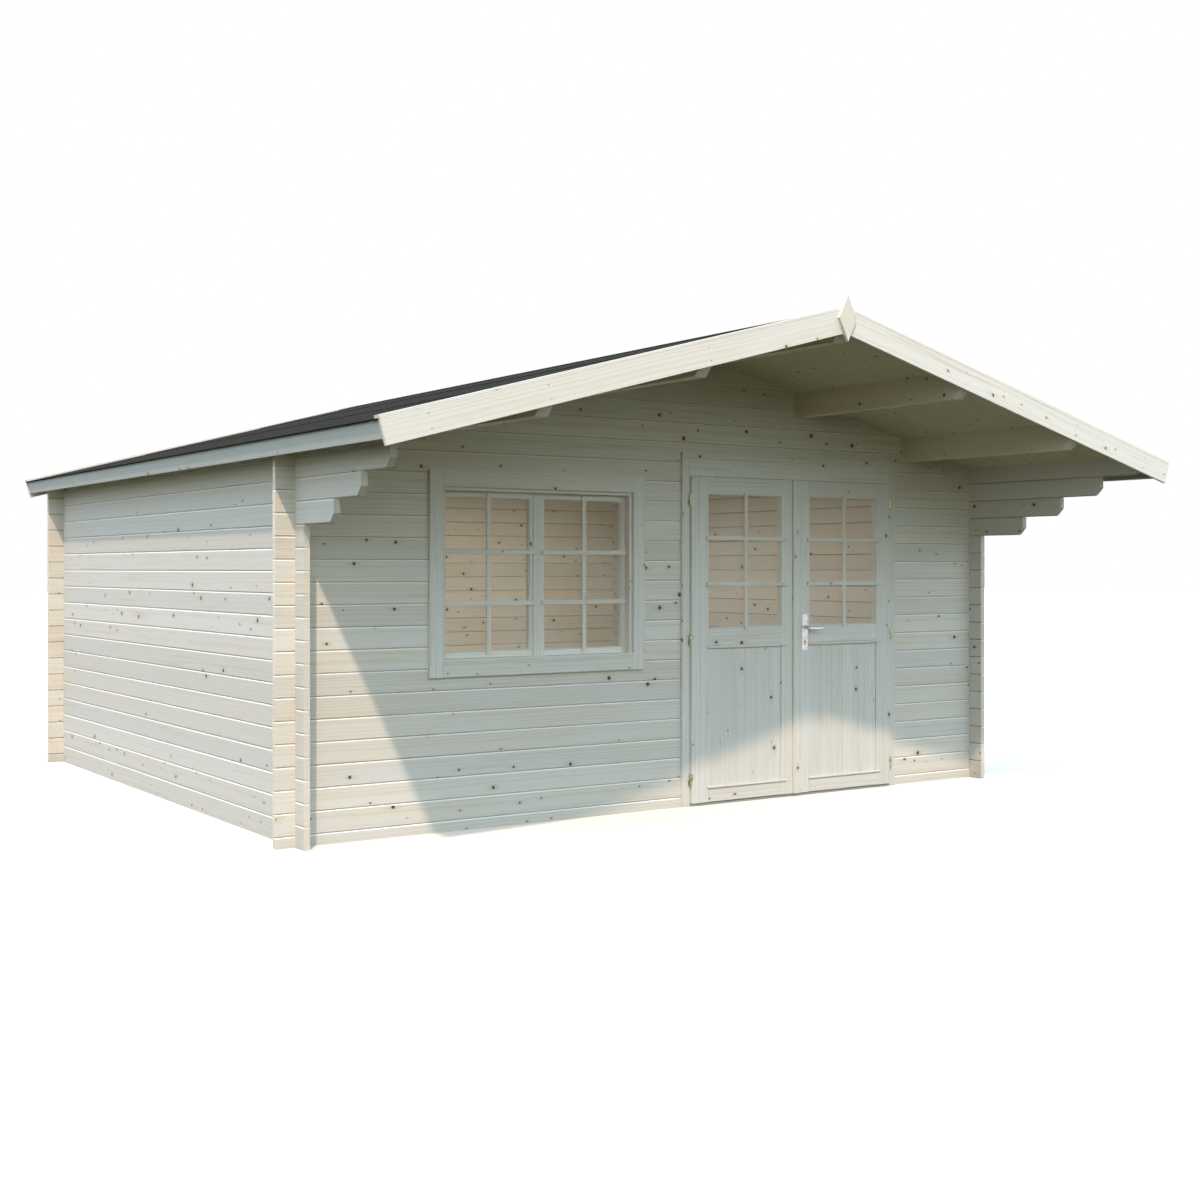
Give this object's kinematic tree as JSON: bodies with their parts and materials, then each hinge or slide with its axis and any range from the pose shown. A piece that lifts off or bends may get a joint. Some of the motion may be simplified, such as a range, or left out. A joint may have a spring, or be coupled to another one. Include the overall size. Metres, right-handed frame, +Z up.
{
  "type": "garden shed",
  "caption": "Log-built garden shed with a low gable roof, a deep front canopy on stepped corbels, a casement window and glazed double doors.",
  "frame": {"origin": "on the ground, under the centre of the roof's plan", "axes": "+X to the right seen from the front, +Y from the front to the rear along the ridge, +Z up"},
  "size_m": [5.2196, 5.7822, 2.7625],
  "materials": {
    "wall_wood": "bleached, matt",
    "roof_wood": "planed, matt",
    "trim_wood": "bleached, matt",
    "door_wood": "bleached, matt",
    "floor_wood": "planed, matt",
    "roofing_felt": "mineral faced, matt",
    "glass": "clear",
    "plated_steel": "yellow plated",
    "handle_metal": "satin"
  },
  "bodies": {
    "shed": {"front_logs_below_window": "wall_wood", "front_logs_left_of_window": "wall_wood", "front_logs_between_openings": "wall_wood", "front_logs_right_of_door": "wall_wood", "front_logs_over_openings": "wall_wood", "front_gable": "wall_wood", "rear_wall": "wall_wood", "rear_gable": "wall_wood", "left_wall": "wall_wood", "right_wall": "wall_wood", "ridge_purlin": "roof_wood", "left_purlins": "roof_wood", "right_purlins": "roof_wood", "left_roof_deck": "roof_wood", "right_roof_deck": "roof_wood", "left_roofing_felt": "roofing_felt", "right_roofing_felt": "roofing_felt", "left_eave_fascia": "trim_wood", "right_eave_fascia": "trim_wood", "front_bargeboards": "trim_wood", "rear_bargeboards": "trim_wood", "verge_caps": "trim_wood", "gable_diamond": "trim_wood", "window_frame": "trim_wood", "window_casing": "trim_wood", "left_sash": "door_wood", "right_sash": "door_wood", "left_sash_glass": "glass", "right_sash_glass": "glass", "door_lining": "trim_wood", "door_casing": "trim_wood", "door_threshold": "trim_wood", "floor": "floor_wood", "left_hinge_pins": "plated_steel", "right_hinge_pins": "plated_steel"},
    "left_leaf": {"left_door_frame": "door_wood", "left_door_panel": "door_wood", "left_door_glass": "glass", "left_hinge_knuckles": "plated_steel"},
    "right_leaf": {"right_door_frame": "door_wood", "right_door_panel": "door_wood", "right_door_glass": "glass", "right_hinge_knuckles": "plated_steel", "meeting_strip": "trim_wood", "lock_plates": "handle_metal"},
    "lever": {"door_lever": "handle_metal"}
  },
  "joints": [
    {"name": "left_door_hinge", "type": "hinge", "parent": "shed", "child": "left_leaf", "pos_m": [0.0287, -1.53785, 0.967], "axis": [0, 0, -1], "range_deg": [0, 165]},
    {"name": "right_door_hinge", "type": "hinge", "parent": "shed", "child": "right_leaf", "pos_m": [1.6213, -1.53785, 0.967], "axis": [0, 0, 1], "range_deg": [0, 135]},
    {"name": "door_lever_turn", "type": "hinge", "parent": "right_leaf", "child": "lever", "pos_m": [0.898, -1.51935, 1.021], "axis": [0, 1, 0], "range_deg": [0, 45], "stiffness_Nm_per_rad": 1.5, "springref_deg": -22.92}
  ]
}
